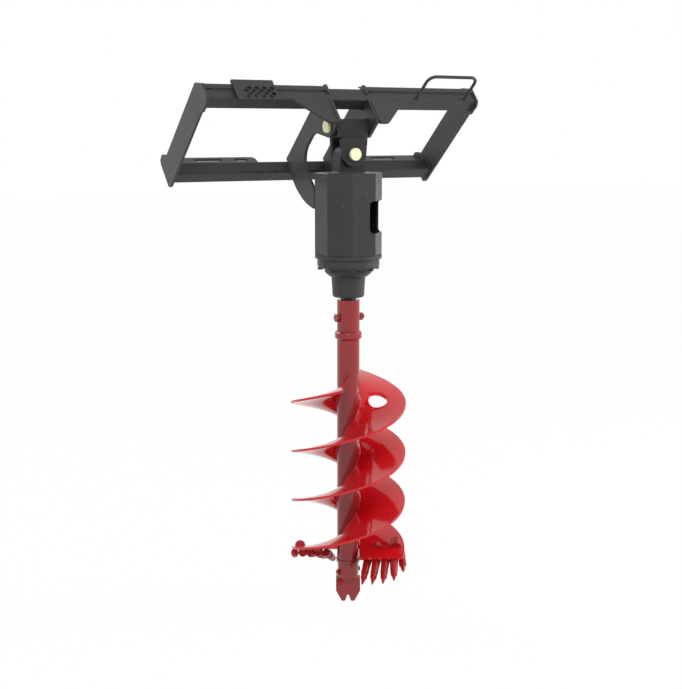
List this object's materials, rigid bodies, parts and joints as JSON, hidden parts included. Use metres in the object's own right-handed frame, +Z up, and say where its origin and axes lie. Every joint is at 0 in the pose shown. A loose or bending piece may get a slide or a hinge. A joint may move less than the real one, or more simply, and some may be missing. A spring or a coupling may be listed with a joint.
{
  "type": "earth auger drive",
  "caption": "Hydraulic earth auger drive hung by a two-way knuckle from a leaning skid-steer attach frame, with a double-flight rock auger, round-shank teeth and a pronged pilot.",
  "frame": {"origin": "middle of the mounting frame's rear plane, where the machine's attach plate bears, 250 mm down the frame from its top face", "axes": "+Z up with the auger plumb, +X to the right along the frame's tubes, +Y back towards the carrying machine; the frame itself leans 48 degrees forward"},
  "size_m": [1.184, 0.6855, 2.0995],
  "materials": {
    "frame_paint": "semi-gloss",
    "latch_paint": "semi-gloss",
    "hanger_paint": "semi-gloss",
    "hood_paint": "semi-gloss",
    "pin_plate": "satin",
    "bush_bronze": "machined",
    "gearbox_paint": "semi-gloss",
    "motor_paint": "satin",
    "bolt_steel": "plated",
    "gear_steel": "ground",
    "seal_rubber": "matt",
    "auger_paint": "gloss",
    "tool_paint": "gloss"
  },
  "bodies": {
    "frame": {"top_tube": "frame_paint", "bottom_tube": "frame_paint", "left_end_plate": "frame_paint", "right_end_plate": "frame_paint", "left_hook_lip": "frame_paint", "right_hook_lip": "frame_paint", "left_latch_plate": "latch_paint", "right_latch_plate": "latch_paint", "left_side_plate": "frame_paint", "right_side_plate": "frame_paint", "left_gusset": "frame_paint", "right_gusset": "frame_paint", "step_tread": "frame_paint", "grab_handle": "frame_paint", "upper_pin": "pin_plate", "upper_flag_bolt": "pin_plate"},
    "hanger": {"hanger_block": "hanger_paint", "hanger_cheeks": "hanger_paint", "upper_pin_bush": "bush_bronze", "upper_pin_spacers": "bush_bronze", "lower_pin": "pin_plate", "lower_flag_bolt": "pin_plate"},
    "drive": {"drive_tongue": "hanger_paint", "lower_pin_bush": "bush_bronze", "hood_shell": "hood_paint", "hood_roof": "hood_paint", "hood_foot": "hood_paint", "motor_front_housing": "motor_paint", "motor_gerotor": "motor_paint", "motor_port_housing": "motor_paint", "motor_mount_bolts": "bolt_steel", "motor_cap_bolts": "bolt_steel", "gearbox_cover": "gearbox_paint", "ring_gear": "gearbox_paint", "gearbox_bolts": "gearbox_paint", "output_housing": "gearbox_paint", "bearing_cups": "gear_steel", "shaft_seal": "seal_rubber"},
    "sun": {"motor_shaft_sun_gear": "gear_steel"},
    "planet_1": {"planet_gear_1": "gear_steel"},
    "planet_2": {"planet_gear_2": "gear_steel"},
    "planet_3": {"planet_gear_3": "gear_steel"},
    "output": {"planet_pins": "gear_steel", "planet_carrier": "gear_steel", "bearing_cones": "gear_steel", "output_shaft": "gear_steel", "auger_collar": "auger_paint", "auger_bolt_and_nut": "auger_paint", "auger_ring": "auger_paint", "auger_stem": "auger_paint", "flight_1": "auger_paint", "cutting_edge_1": "tool_paint", "tooth_holders_1": "tool_paint", "teeth_1": "tool_paint", "flight_2": "auger_paint", "cutting_edge_2": "tool_paint", "tooth_holders_2": "tool_paint", "teeth_2": "tool_paint", "pilot_hub": "auger_paint", "pilot_bit": "auger_paint"}
  },
  "joints": [
    {"name": "upper_pin_hinge", "type": "hinge", "parent": "frame", "child": "hanger", "pos_m": [0, -0.24633, -0.01503], "axis": [1, 0, 0], "range_deg": [-90, 1.5]},
    {"name": "lower_pin_hinge", "type": "hinge", "parent": "hanger", "child": "drive", "pos_m": [0, -0.24633, -0.12003], "axis": [0, 1, 0], "range_deg": [-3, 3]},
    {"name": "auger_spin", "type": "hinge", "parent": "drive", "child": "output", "pos_m": [0, -0.24633, -0.61503], "axis": [0, 0, 1], "continuous": true},
    {"name": "sun_spin", "type": "hinge", "parent": "drive", "child": "sun", "pos_m": [0, -0.24633, -0.51503], "axis": [0, 0, 1], "continuous": true},
    {"name": "planet_spin_1", "type": "hinge", "parent": "output", "child": "planet_1", "pos_m": [0, -0.19008, -0.53303], "axis": [0, 0, 1], "continuous": true},
    {"name": "planet_spin_2", "type": "hinge", "parent": "output", "child": "planet_2", "pos_m": [-0.04871, -0.27446, -0.53303], "axis": [0, 0, 1], "continuous": true},
    {"name": "planet_spin_3", "type": "hinge", "parent": "output", "child": "planet_3", "pos_m": [0.04871, -0.27446, -0.53303], "axis": [0, 0, 1], "continuous": true}
  ],
  "couplings": [
    {"joint": "sun_spin", "follows": "auger_spin", "ratio": 5},
    {"joint": "planet_spin_1", "follows": "auger_spin", "ratio": -2.6667},
    {"joint": "planet_spin_2", "follows": "auger_spin", "ratio": -2.6667},
    {"joint": "planet_spin_3", "follows": "auger_spin", "ratio": -2.6667}
  ]
}
